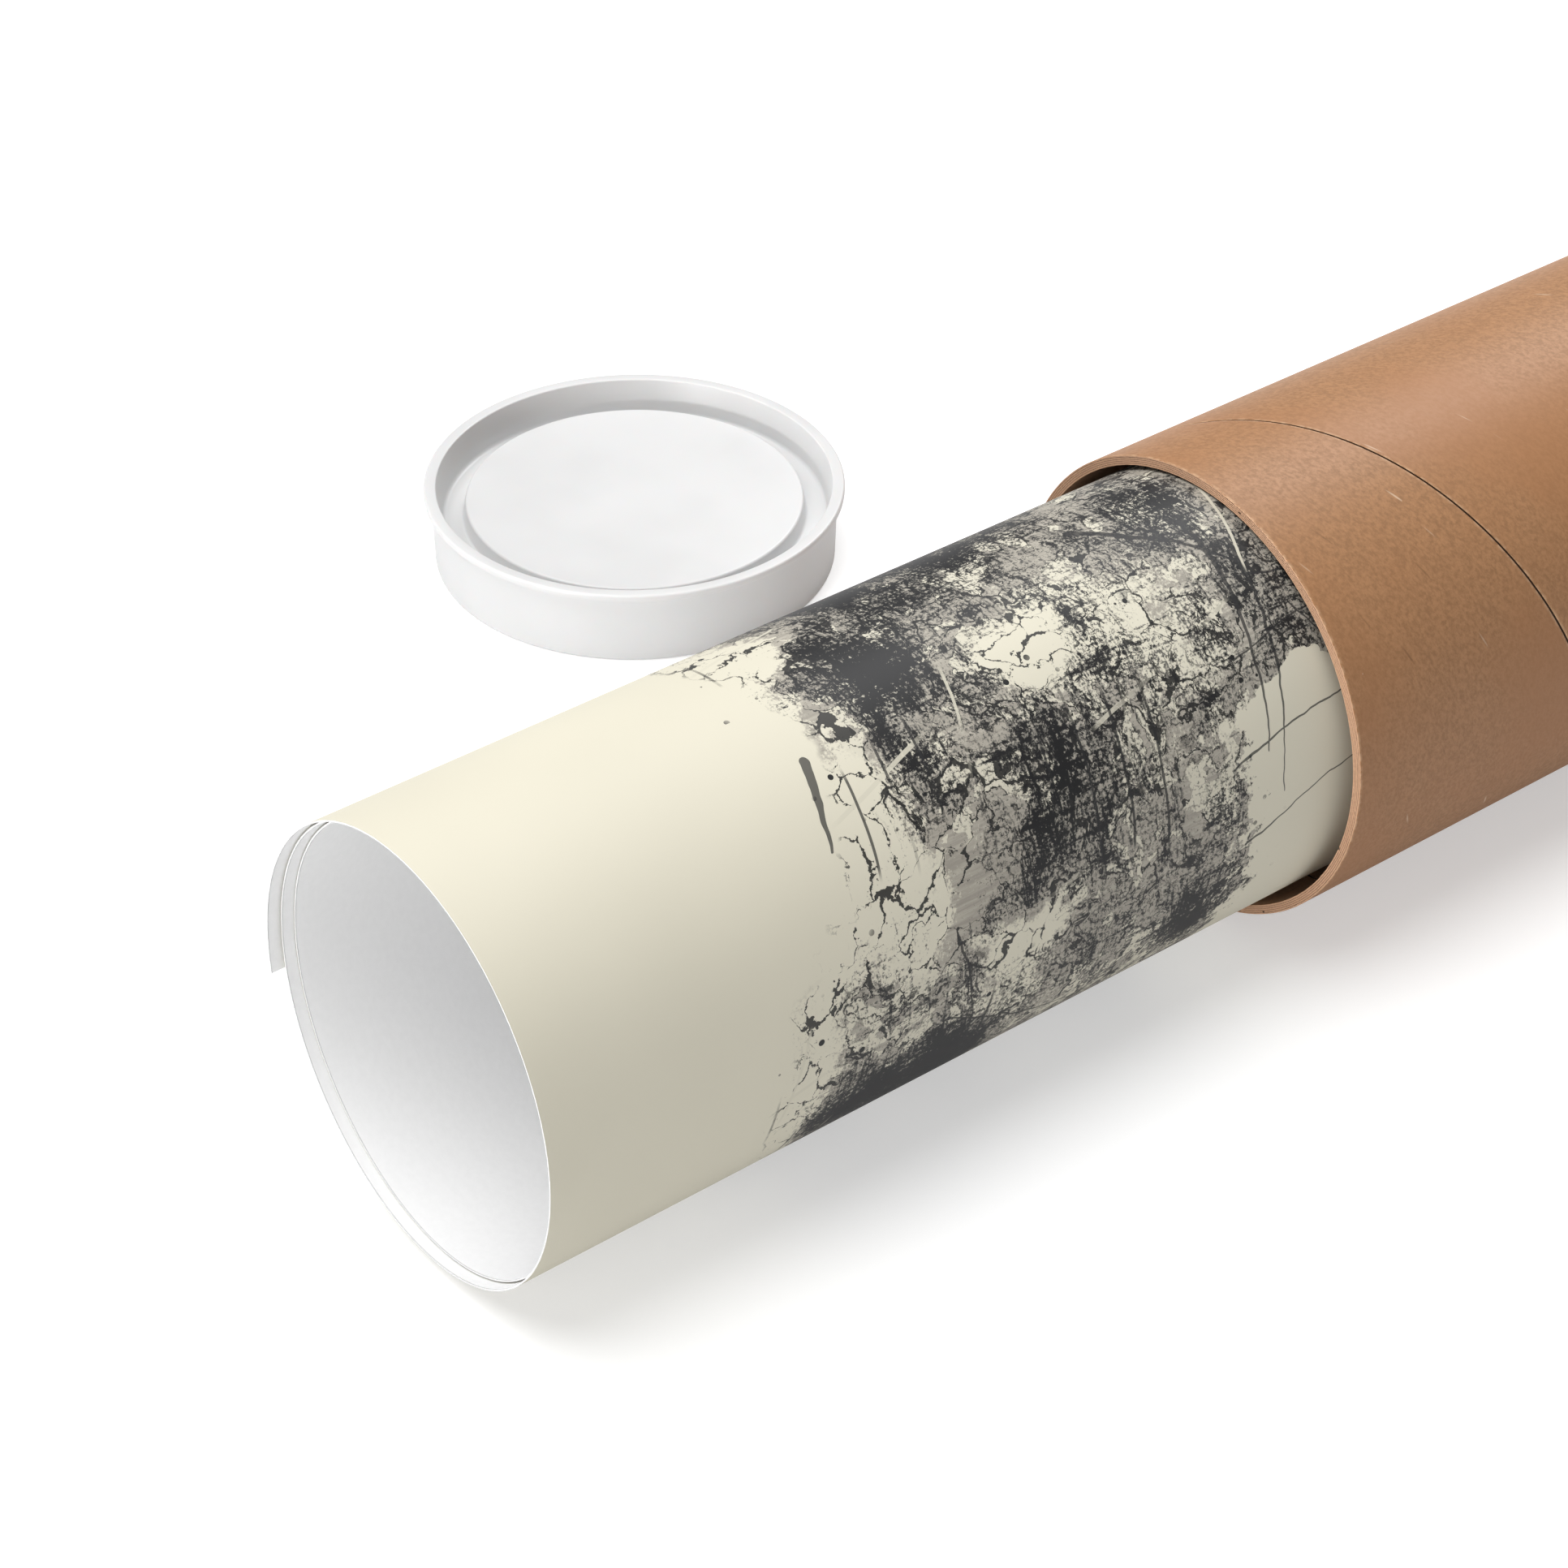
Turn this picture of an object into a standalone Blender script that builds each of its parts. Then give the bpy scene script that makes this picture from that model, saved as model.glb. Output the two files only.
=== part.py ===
"""Drawing tube: a spiral-wound board tube, two push-in end caps and a rolled sheet.

The tube lies on the floor along X with its open mouth towards -X. The sheet is
drawn part of the way out of the mouth, and the mouth's cap is set down beside it.
The origin is the middle of the line that the tube rests on; +Z is up.
"""

import math

import bmesh
import bpy
from mathutils import Vector

# ---- driving dimensions, in metres ------------------------------------------

TUBE_LENGTH = 0.460
BORE_DIAMETER = 0.0762
FACETS = 48                      # flats round every turned or wound piece

PLY_THICKNESS = 0.00028
GLUE_LINE = 0.00005              # space left between one ply and the next
WINDING_PITCH = 0.109            # advance along the tube for one turn of a strip
BUTT_GAP = 0.0004                # open joint between neighbouring turns of a strip
WRAP_SEAM_FROM_MOUTH = 0.0334    # where the outer joint crosses WRAP_SEAM_ANGLE
WRAP_SEAM_ANGLE = 120.0          # degrees, from +Y over the top
PLY_STAGGER = 0.37               # turn-to-turn offset of each ply's joint

SHEET_WIDTH = 0.420              # along the tube
SHEET_LENGTH = 0.594             # rolled up
SHEET_THICKNESS = 0.0003
ROLL_RADIUS = 0.0365             # mean radius of the outermost turn
ROLL_OVAL = 0.035                # the roll stands taller than it is wide
TURN_STEP = 0.0007               # each turn lies this much inside the last
SKEW_PER_TURN = 0.0020           # inner turns sit this much further into the tube
FLAP_TURNS = 0.20                # part of a turn that springs away at the free edge
FLAP_LIFT = 0.0013
FREE_EDGE_ANGLE = -9.0           # degrees, from +Y over the top
DRAWN_OUT = 0.153                # from the mouth to the sheet's near edge

CAP_FLANGE_RADIUS = 0.0392
CAP_FLANGE_THICKNESS = 0.0014
CAP_EDGE_ROUND = 0.0005
CAP_DEPTH = 0.015                # from the flange's outer face to the plug's end
CAP_PLUG_CLEARANCE = 0.0002
CAP_PLUG_TAPER = 0.0004
CAP_LEAD_IN = 0.0008
CAP_MOUTH_RADIUS = 0.0369        # recess radius at the flange face
CAP_FLOOR_RADIUS = 0.0358        # recess radius at its floor
CAP_FLOOR_DEPTH = 0.0066
CAP_WALL = 0.0013
CAP_PANEL_RADIUS = 0.0320        # raised middle panel, at its foot
CAP_PANEL_DRAFT = 0.0005
CAP_PANEL_DEPTH = 0.0034         # raised panel's depth below the flange face
CAP_SEAT_GAP = 0.0003            # between the flange and the tube's cut end

LOOSE_CAP_FROM_MOUTH = 0.009     # the loose cap's centre, beyond the mouth
LOOSE_CAP_ASIDE = 0.138          # and beside the tube's axis

# ---- derived sizes ----------------------------------------------------------

PLY_NAMES = ("inner_liner", "core_ply_1", "core_ply_2", "core_ply_3", "kraft_wrap")
BORE_APOTHEM = BORE_DIAMETER / 2
WALL = len(PLY_NAMES) * PLY_THICKNESS + (len(PLY_NAMES) - 1) * GLUE_LINE
AXIS_HEIGHT = BORE_APOTHEM + WALL
MOUTH_X = -TUBE_LENGTH / 2
FAR_END_X = TUBE_LENGTH / 2
FACET_ANGLE = 2 * math.pi / FACETS
FACET_START = FACET_ANGLE / 2    # puts one flat exactly underneath

# ---- colours: linear RGB, roughness ----------------------------------------

KRAFT = ((0.35, 0.185, 0.095), 0.50)
BOARD = ((0.56, 0.315, 0.185), 0.85)
PAPER = ((0.68, 0.64, 0.52), 0.62)
WHITE_PLASTIC = ((0.80, 0.80, 0.80), 0.36)


def clear_scene():
    """Remove every object that is already in the file."""
    for thing in list(bpy.data.objects):
        bpy.data.objects.remove(thing, do_unlink=True)


def make_material(name, finish):
    """Make a plain Principled material from a colour and a roughness."""
    colour, roughness = finish
    material = bpy.data.materials.new(name)
    material.use_nodes = True
    shader = material.node_tree.nodes["Principled BSDF"]
    shader.inputs["Base Color"].default_value = (*colour, 1.0)
    shader.inputs["Roughness"].default_value = roughness
    shader.inputs["Metallic"].default_value = 0.0
    return material


def add_piece(name, mesh_builder, finish, parent=None):
    """Turn a filled bmesh into a smooth-shaded named object with its material."""
    mesh = bpy.data.meshes.new(name)
    bmesh.ops.recalc_face_normals(mesh_builder, faces=mesh_builder.faces)
    mesh_builder.to_mesh(mesh)
    mesh_builder.free()
    mesh.shade_smooth()
    mesh.set_sharp_from_angle(angle=math.radians(30))
    mesh.materials.append(make_material(name, finish))
    piece = bpy.data.objects.new(name, mesh)
    bpy.context.collection.objects.link(piece)
    piece.parent = parent
    return piece


def facet_point(turned, apothem):
    """Point on the faceted circle at a turned angle, straight along each flat."""
    steps = (turned - FACET_START) / FACET_ANGLE
    first = math.floor(steps)
    share = steps - first
    corner_radius = apothem / math.cos(FACET_ANGLE / 2)

    def corner(index):
        angle = FACET_START + index * FACET_ANGLE
        return Vector((math.cos(angle), math.sin(angle))) * corner_radius

    return corner(first).lerp(corner(first + 1), share)


def stitch_sections(builder, sections):
    """Skin a row of cross-sections, each a loop of points, into one closed solid."""
    rings = [[builder.verts.new(point) for point in section] for section in sections]
    for ring, following in zip(rings, rings[1:]):
        count = len(ring)
        for index in range(count):
            ahead = (index + 1) % count
            builder.faces.new((ring[index], ring[ahead], following[ahead], following[index]))
    builder.faces.new(rings[0])
    builder.faces.new(list(reversed(rings[-1])))


# ---- the wound tube -------------------------------------------------------------


def strip_angles(seam_x):
    """Turned angles of a strip's cross-sections, from one tube end to the other."""
    per_radian = WINDING_PITCH / (2 * math.pi)

    def angle_where(edge_offset, x):
        return (x - seam_x - edge_offset) / per_radian

    low_edge = BUTT_GAP / 2
    high_edge = WINDING_PITCH - BUTT_GAP / 2
    start = angle_where(high_edge, MOUTH_X)
    finish = angle_where(low_edge, FAR_END_X)
    corners = [start, angle_where(low_edge, MOUTH_X), angle_where(high_edge, FAR_END_X), finish]
    first = math.ceil((start - FACET_START) / FACET_ANGLE)
    last = math.floor((finish - FACET_START) / FACET_ANGLE)
    corners += [FACET_START + index * FACET_ANGLE for index in range(first, last + 1)]
    return sorted(corners)


def make_ply(name, inner_apothem, seam_x, finish, parent):
    """Wind one strip of board into a tube, its turns butted edge to edge."""
    outer_apothem = inner_apothem + PLY_THICKNESS
    sections = []
    for turned in strip_angles(seam_x):
        edge_x = seam_x + WINDING_PITCH * turned / (2 * math.pi)
        low_x = max(MOUTH_X, edge_x + BUTT_GAP / 2)
        high_x = min(FAR_END_X, edge_x + WINDING_PITCH - BUTT_GAP / 2)
        outside = facet_point(turned, outer_apothem)
        inside = facet_point(turned, inner_apothem)
        sections.append([(low_x, *outside), (high_x, *outside), (high_x, *inside), (low_x, *inside)])
    builder = bmesh.new()
    stitch_sections(builder, sections)
    bmesh.ops.remove_doubles(builder, verts=builder.verts, dist=1e-6)
    bmesh.ops.dissolve_degenerate(builder, edges=builder.edges, dist=1e-7)
    return add_piece(name, builder, finish, parent)


def make_tube(parent):
    """Wind the liner, the core plies and the kraft wrap, from the bore outwards."""
    wrap_turn = WRAP_SEAM_ANGLE / 360
    wrap_seam_x = MOUTH_X + WRAP_SEAM_FROM_MOUTH - WINDING_PITCH * wrap_turn
    for layer, name in enumerate(PLY_NAMES):
        inner_apothem = BORE_APOTHEM + layer * (PLY_THICKNESS + GLUE_LINE)
        layers_from_wrap = len(PLY_NAMES) - 1 - layer
        seam_x = wrap_seam_x + WINDING_PITCH * PLY_STAGGER * layers_from_wrap
        finish = KRAFT if name == "kraft_wrap" else BOARD
        make_ply(name, inner_apothem, seam_x, finish, parent)


# ---- the rolled sheet ---------------------------------------------------------------


def roll_radius(turns):
    """Radius of the roll's outer face after a number of turns from its free edge."""
    lift = 0.0
    if turns < FLAP_TURNS:
        lift = FLAP_LIFT * (1 - turns / FLAP_TURNS) ** 2
    return ROLL_RADIUS - TURN_STEP * turns + lift


def roll_point(turns, depth):
    """Point of the roll's cross-section, at a depth below the sheet's outer face."""
    angle = math.radians(FREE_EDGE_ANGLE) + 2 * math.pi * turns
    radius = roll_radius(turns)
    across = (radius * (1 - ROLL_OVAL) - depth) * math.cos(angle)
    upright = (radius * (1 + ROLL_OVAL) - depth) * math.sin(angle)
    return across, upright


def make_rolled_sheet(parent):
    """Roll the sheet up inwards from its free edge until its length is used."""
    step = 1 / FACETS
    turns = 0.0
    left = SHEET_LENGTH
    stations = [turns]
    while left > 0:
        here = Vector(roll_point(turns, 0))
        ahead = Vector(roll_point(turns + step, 0))
        left -= (ahead - here).length
        turns += step
        stations.append(turns)
    sections = []
    for turns in stations:
        near_x = MOUTH_X - DRAWN_OUT + SKEW_PER_TURN * turns
        far_x = near_x + SHEET_WIDTH
        outside = roll_point(turns, 0)
        inside = roll_point(turns, SHEET_THICKNESS)
        sections.append([(near_x, *outside), (far_x, *outside), (far_x, *inside), (near_x, *inside)])
    builder = bmesh.new()
    stitch_sections(builder, sections)
    return add_piece("rolled_print", builder, PAPER, parent)


# ---- the end caps -------------------------------------------------------------------


def cap_profile():
    """Cap outline as (radius, height) pairs; height 0 is the flange's outer face."""
    plug = BORE_APOTHEM - CAP_PLUG_CLEARANCE
    plug_end = plug - CAP_PLUG_TAPER
    under_floor = CAP_FLOOR_DEPTH + CAP_WALL
    under_panel = CAP_PANEL_DEPTH + CAP_WALL
    panel_top = CAP_PANEL_RADIUS - CAP_PANEL_DRAFT
    return [
        (0.0, -CAP_PANEL_DEPTH),
        (panel_top, -CAP_PANEL_DEPTH),
        (CAP_PANEL_RADIUS, -CAP_FLOOR_DEPTH),
        (CAP_FLOOR_RADIUS, -CAP_FLOOR_DEPTH),
        (CAP_MOUTH_RADIUS - CAP_EDGE_ROUND / 2, -CAP_EDGE_ROUND),
        (CAP_MOUTH_RADIUS, 0.0),
        (CAP_FLANGE_RADIUS - CAP_EDGE_ROUND, 0.0),
        (CAP_FLANGE_RADIUS, -CAP_EDGE_ROUND),
        (CAP_FLANGE_RADIUS, -CAP_FLANGE_THICKNESS),
        (plug, -CAP_FLANGE_THICKNESS),
        (plug_end, CAP_LEAD_IN - CAP_DEPTH),
        (plug_end - CAP_LEAD_IN / 2, -CAP_DEPTH),
        (plug_end - CAP_WALL, -CAP_DEPTH),
        (plug_end - CAP_WALL, -under_floor),
        (CAP_PANEL_RADIUS - CAP_WALL, -under_floor),
        (panel_top - CAP_WALL, -under_panel),
        (0.0, -under_panel),
    ]


def make_cap(name, parent=None):
    """Turn the cap's outline about its own Z axis, flange face at height 0."""
    builder = bmesh.new()
    rings = []
    for radius, height in cap_profile():
        if radius == 0.0:
            rings.append([builder.verts.new((0.0, 0.0, height))])
            continue
        ring = []
        for index in range(FACETS):
            y, x = facet_point(FACET_START + index * FACET_ANGLE, radius)
            ring.append(builder.verts.new((x, y, height)))
        rings.append(ring)
    for ring, following in zip(rings, rings[1:]):
        for index in range(FACETS):
            ahead = (index + 1) % FACETS
            if len(ring) == 1:
                builder.faces.new((ring[0], following[index], following[ahead]))
            elif len(following) == 1:
                builder.faces.new((ring[index], following[0], ring[ahead]))
            else:
                builder.faces.new((ring[index], following[index], following[ahead], ring[ahead]))
    return add_piece(name, builder, WHITE_PLASTIC, parent)


def make_caps(axis):
    """Push one cap into the far end and set the other down beside the mouth."""
    far_cap = make_cap("far_end_cap", axis)
    far_cap.rotation_euler = (0.0, math.radians(90), 0.0)
    far_cap.location = (FAR_END_X + CAP_SEAT_GAP + CAP_FLANGE_THICKNESS, 0.0, 0.0)
    near_cap = make_cap("mouth_cap")
    near_cap.location = (MOUTH_X - LOOSE_CAP_FROM_MOUTH, LOOSE_CAP_ASIDE, CAP_DEPTH)


def main():
    """Build the whole object in its rest position."""
    clear_scene()
    axis = bpy.data.objects.new("tube_axis", None)
    bpy.context.collection.objects.link(axis)
    axis.location = (0.0, 0.0, AXIS_HEIGHT)
    make_tube(axis)
    make_rolled_sheet(axis)
    make_caps(axis)


main()
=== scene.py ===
import math

import bmesh
import bpy
from bpy.props import (
    FloatProperty,
    FloatVectorProperty,
    IntProperty,
    PointerProperty,
)
from bpy.types import Operator, Panel, PropertyGroup
from mathutils import Matrix, Vector


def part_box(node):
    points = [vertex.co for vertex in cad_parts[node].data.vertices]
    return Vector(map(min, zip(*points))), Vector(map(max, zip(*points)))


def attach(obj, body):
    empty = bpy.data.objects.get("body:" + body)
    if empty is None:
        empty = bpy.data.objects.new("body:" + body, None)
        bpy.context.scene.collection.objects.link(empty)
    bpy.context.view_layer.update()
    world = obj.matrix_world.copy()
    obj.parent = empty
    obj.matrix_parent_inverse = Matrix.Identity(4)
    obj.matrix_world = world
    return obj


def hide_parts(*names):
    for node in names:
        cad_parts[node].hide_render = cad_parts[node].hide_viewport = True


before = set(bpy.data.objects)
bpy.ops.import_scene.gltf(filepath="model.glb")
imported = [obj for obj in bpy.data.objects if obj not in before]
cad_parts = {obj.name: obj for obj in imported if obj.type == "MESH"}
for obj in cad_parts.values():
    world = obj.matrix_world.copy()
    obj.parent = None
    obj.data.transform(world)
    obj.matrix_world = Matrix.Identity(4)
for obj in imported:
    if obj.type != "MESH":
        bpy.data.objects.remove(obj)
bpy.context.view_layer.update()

bl_info = {
    "name": "Drawing Tube",
    "version": (1, 0, 0),
    "blender": (4, 5, 0),
    "location": "3D View > Sidebar > Drawing Tube",
    "description": "Winds a board drawing tube, rolls its print, moulds its caps and lights them",
    "category": "Add Mesh",
}

# ---- places taken from the frame ------------------------------------------------

PLY_NODES = ("inner_liner", "core_ply_1", "core_ply_2", "core_ply_3", "kraft_wrap")
WRAP_LOW, WRAP_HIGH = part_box("kraft_wrap")
PRINT_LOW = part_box("rolled_print")[0]
FAR_CAP_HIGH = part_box("far_end_cap")[1]
MOUTH_CAP_LOW, MOUTH_CAP_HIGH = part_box("mouth_cap")
MOUTH_X = WRAP_LOW.x
FAR_END_X = WRAP_HIGH.x
AXIS_HEIGHT = (WRAP_HIGH.z + WRAP_LOW.z) / 2
PLY_RADII = {name: (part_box(name)[1].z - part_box(name)[0].z) / 2 for name in PLY_NODES}
CAP_DEPTH = MOUTH_CAP_HIGH.z - MOUTH_CAP_LOW.z
MM = 0.001
BORE_RADIUS = 38.1 * MM
ONE_TO_ONE = (1.0, 1.0, 1.0)


# ---- settings a user would change ---------------------------------------------------


class TubeSettings(PropertyGroup):
    """Sizes and colours of the wound board tube."""

    ply_thickness: FloatProperty(
        name="Ply thickness", description="Thickness of one wound strip of board",
        default=0.28 * MM, unit="LENGTH", precision=5)
    pitch: FloatProperty(
        name="Winding pitch", description="Advance along the tube in one turn of a strip",
        default=0.109, unit="LENGTH")
    butt_gap: FloatProperty(
        name="Butt gap", description="Open joint between neighbouring turns of a strip",
        default=0.36 * MM, unit="LENGTH", precision=5)
    gap_wander: FloatProperty(
        name="Gap wander", description="How far the joint's edges stray from a true line",
        default=0.05 * MM, unit="LENGTH", precision=5)
    seam_from_mouth: FloatProperty(
        name="Seam from mouth", description="Where the wrap's joint lies at the seam angle",
        default=0.0334, unit="LENGTH")
    seam_angle: FloatProperty(
        name="Seam angle", description="Turn, from +Y over the top, where the seam is placed",
        default=math.radians(120), subtype="ANGLE")
    ply_stagger: FloatProperty(
        name="Ply stagger", description="Share of the pitch between one ply's joint and the next",
        default=0.37, subtype="FACTOR")
    edge_round: FloatProperty(
        name="Edge rounding", description="Softness of the wrap's cut edges",
        default=0.10 * MM, unit="LENGTH", precision=5)
    facets: IntProperty(
        name="Facets", description="Flats round the wrap", default=192, min=24)
    kraft_colour: FloatVectorProperty(
        name="Kraft", description="Colour of the outer kraft paper",
        subtype="COLOR", default=(0.325, 0.170, 0.083), min=0, max=1)
    board_colour: FloatVectorProperty(
        name="Board", description="Colour of the raw board plies",
        subtype="COLOR", default=(0.42, 0.25, 0.155), min=0, max=1)


class PrintSettings(PropertyGroup):
    """Sizes and colours of the rolled print."""

    width: FloatProperty(
        name="Width", description="Sheet size along the tube", default=0.420, unit="LENGTH")
    length: FloatProperty(
        name="Length", description="Sheet size that is rolled up", default=0.594, unit="LENGTH")
    thickness: FloatProperty(
        name="Thickness", description="Thickness of the paper",
        default=0.26 * MM, unit="LENGTH", precision=5)
    radius: FloatProperty(
        name="Roll radius", description="Mean radius of the outermost turn",
        default=0.0365, unit="LENGTH", precision=4)
    oval: FloatProperty(
        name="Oval", description="How much taller than wide the roll stands",
        default=0.035, subtype="FACTOR")
    turn_step: FloatProperty(
        name="Turn step", description="How far each turn lies inside the last",
        default=0.52 * MM, unit="LENGTH", precision=5)
    skew: FloatProperty(
        name="Skew", description="How far each turn is set further into the tube",
        default=2.0 * MM, unit="LENGTH", precision=5)
    flap_turns: FloatProperty(
        name="Flap", description="Part of a turn that springs away at the free edge",
        default=0.20, subtype="FACTOR")
    flap_lift: FloatProperty(
        name="Flap lift", description="How far the free edge stands off the roll",
        default=0.55 * MM, unit="LENGTH", precision=5)
    free_edge_angle: FloatProperty(
        name="Free edge", description="Turn, from +Y over the top, of the sheet's free edge",
        default=math.radians(-9), subtype="ANGLE")
    ripple: FloatProperty(
        name="Ripple", description="Height of the paper's slight waves",
        default=0.11 * MM, unit="LENGTH", precision=5)
    facets: IntProperty(
        name="Facets", description="Flats in one turn of the roll", default=180, min=24)
    runs: IntProperty(
        name="Runs", description="Divisions of the sheet along the tube", default=36, min=4)
    paper_colour: FloatVectorProperty(
        name="Paper", description="Colour of the printed face",
        subtype="COLOR", default=(0.622, 0.590, 0.483), min=0, max=1)
    back_colour: FloatVectorProperty(
        name="Back", description="Colour of the sheet's plain back",
        subtype="COLOR", default=(0.82, 0.82, 0.82), min=0, max=1)
    ink_colour: FloatVectorProperty(
        name="Ink", description="Darkest ink", subtype="COLOR",
        default=(0.014, 0.014, 0.015), min=0, max=1)


class CapSettings(PropertyGroup):
    """Sizes and colour of the push-in end caps."""

    flange_radius: FloatProperty(
        name="Flange radius", description="Outer radius of the flange",
        default=39.2 * MM, unit="LENGTH", precision=4)
    flange_thickness: FloatProperty(
        name="Flange thickness", description="Thickness of the flange",
        default=1.4 * MM, unit="LENGTH", precision=4)
    plug_clearance: FloatProperty(
        name="Plug clearance", description="Space between the plug and the bore",
        default=0.2 * MM, unit="LENGTH", precision=5)
    plug_taper: FloatProperty(
        name="Plug taper", description="How much the plug narrows towards its end",
        default=0.4 * MM, unit="LENGTH", precision=5)
    recess_radius: FloatProperty(
        name="Recess radius", description="Radius of the recess at the flange face",
        default=36.9 * MM, unit="LENGTH", precision=4)
    floor_radius: FloatProperty(
        name="Floor radius", description="Radius of the recess at its floor",
        default=35.8 * MM, unit="LENGTH", precision=4)
    wall: FloatProperty(
        name="Wall", description="Thickness of the moulding",
        default=1.3 * MM, unit="LENGTH", precision=4)
    floor_depth: FloatProperty(
        name="Floor depth", description="Depth of the recess floor below the flange face",
        default=6.6 * MM, unit="LENGTH", precision=4)
    panel_radius: FloatProperty(
        name="Panel radius", description="Radius of the raised middle panel at its foot",
        default=32.0 * MM, unit="LENGTH", precision=4)
    panel_draft: FloatProperty(
        name="Panel draft", description="How much the raised panel narrows towards its top",
        default=0.5 * MM, unit="LENGTH", precision=5)
    panel_depth: FloatProperty(
        name="Panel depth", description="Depth of the raised panel below the flange face",
        default=3.4 * MM, unit="LENGTH", precision=4)
    facets: IntProperty(
        name="Facets", description="Flats round a cap", default=160, min=24)
    colour: FloatVectorProperty(
        name="Plastic", description="Colour of the moulded plastic",
        subtype="COLOR", default=(0.58, 0.58, 0.58), min=0, max=1)


class StageSettings(PropertyGroup):
    """Floor, lights and camera."""

    lens: FloatProperty(
        name="Lens", description="Focal length on a 36 mm wide sensor",
        default=93.57, subtype="DISTANCE_CAMERA")
    camera_back: FloatProperty(
        name="Camera back", description="Distance from the mouth to the camera along the tube",
        default=0.3905, unit="LENGTH")
    camera_side: FloatProperty(
        name="Camera side", description="Distance from the tube to the camera, across it",
        default=0.3841, unit="LENGTH")
    camera_height: FloatProperty(
        name="Camera height", description="Height of the camera above the floor",
        default=0.4161, unit="LENGTH")
    camera_heading: FloatProperty(
        name="Heading", description="Camera heading, from +X towards +Y",
        default=math.radians(51.34), subtype="ANGLE")
    camera_dip: FloatProperty(
        name="Dip", description="How far the camera looks down",
        default=math.radians(36.08), subtype="ANGLE")
    camera_roll: FloatProperty(
        name="Roll", description="Turn of the camera about its own view",
        default=math.radians(0.42), subtype="ANGLE")
    key_strength: FloatProperty(
        name="Key light", description="Strength of the broad soft key light", default=3.4)
    key_softness: FloatProperty(
        name="Key softness", description="Width of the key light in the sky",
        default=math.radians(56), subtype="ANGLE")
    back_power: FloatProperty(
        name="Back light", description="Power of the soft light behind the tube",
        default=9.5, unit="POWER")
    front_power: FloatProperty(
        name="Front light", description="Power of the soft light facing the open mouth",
        default=7.0, unit="POWER")
    low_power: FloatProperty(
        name="Low light", description="Power of the low light that shines up into the open mouth",
        default=0.9, unit="POWER")
    fill: FloatProperty(
        name="Fill", description="Strength of the pale surroundings", default=0.10)


# ---- shader building ----------------------------------------------------------------


class Shader:
    """Lays nodes and links in one node tree."""

    NODES_PER_ROW = 8
    NODE_SPACING = (220, -320)

    def __init__(self, tree):
        self.tree = tree
        self.count = 0

    def feed(self, socket, value):
        """Link a socket to another, or give it a plain value."""
        if isinstance(value, bpy.types.NodeSocket):
            self.tree.links.new(value, socket)
        else:
            socket.default_value = value

    def node(self, kind, inputs=None, **settings):
        """Add a node, set its properties, and feed its inputs."""
        made = self.tree.nodes.new(kind)
        row, column = divmod(self.count, self.NODES_PER_ROW)
        made.location = (column * self.NODE_SPACING[0], row * self.NODE_SPACING[1])
        self.count += 1
        for key, value in settings.items():
            setattr(made, key, value)
        for key, value in (inputs or {}).items():
            self.feed(made.inputs[key], value)
        return made

    def vector(self, operation, inputs):
        """A Vector Math node."""
        return self.node("ShaderNodeVectorMath", inputs, operation=operation)

    def math(self, operation, *values):
        """A Math node's result."""
        made = self.node("ShaderNodeMath", dict(enumerate(values)), operation=operation)
        return made.outputs[0]

    def band(self, value, low, high, to_low=0.0, to_high=1.0):
        """Map a value from one range to another with soft ends."""
        inputs = {"Value": value, "From Min": low, "From Max": high,
                  "To Min": to_low, "To Max": to_high}
        return self.node("ShaderNodeMapRange", inputs, interpolation_type="SMOOTHSTEP").outputs[0]

    def noise(self, vector, scale, detail=2.0, roughness=0.5):
        """Value of a noise texture."""
        inputs = {"Vector": vector, "Scale": scale, "Detail": detail, "Roughness": roughness}
        return self.node("ShaderNodeTexNoise", inputs).outputs["Fac"]

    def drift(self, vector, scale, roughness):
        """Colour of a noise texture, used to push places about."""
        inputs = {"Vector": vector, "Scale": scale, "Detail": 4.0, "Roughness": roughness}
        return self.node("ShaderNodeTexNoise", inputs).outputs["Color"]

    def stretch(self, vector, scale, offset=(0.0, 0.0, 0.0), turn=0.0):
        """A vector turned, scaled and moved."""
        inputs = {"Vector": vector, "Scale": scale, "Location": offset,
                  "Rotation": (0.0, 0.0, turn)}
        return self.node("ShaderNodeMapping", inputs).outputs[0]

    def mix(self, share, first, second):
        """Mix two colours."""
        made = self.node("ShaderNodeMix", data_type="RGBA")
        colours = [socket for socket in made.inputs if socket.type == "RGBA"]
        self.feed(made.inputs[0], share)
        self.feed(colours[0], first)
        self.feed(colours[1], second)
        return next(socket for socket in made.outputs if socket.type == "RGBA")


def rgba(colour, gain=1.0):
    """A colour with full alpha, made lighter or darker by a gain."""
    return (*(min(1.0, channel * gain) for channel in colour), 1.0)


def new_group(name, inputs, outputs):
    """Make a shader node group with named sockets and return it with its ends."""
    group = bpy.data.node_groups.new(name, "ShaderNodeTree")
    for socket_name, kind, default in inputs:
        socket = group.interface.new_socket(socket_name, in_out="INPUT", socket_type=kind)
        if default is not None:
            socket.default_value = default
    for socket_name, kind in outputs:
        group.interface.new_socket(socket_name, in_out="OUTPUT", socket_type=kind)
    start = group.nodes.new("NodeGroupInput")
    end = group.nodes.new("NodeGroupOutput")
    return group, Shader(group), start.outputs, end.inputs


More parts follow.
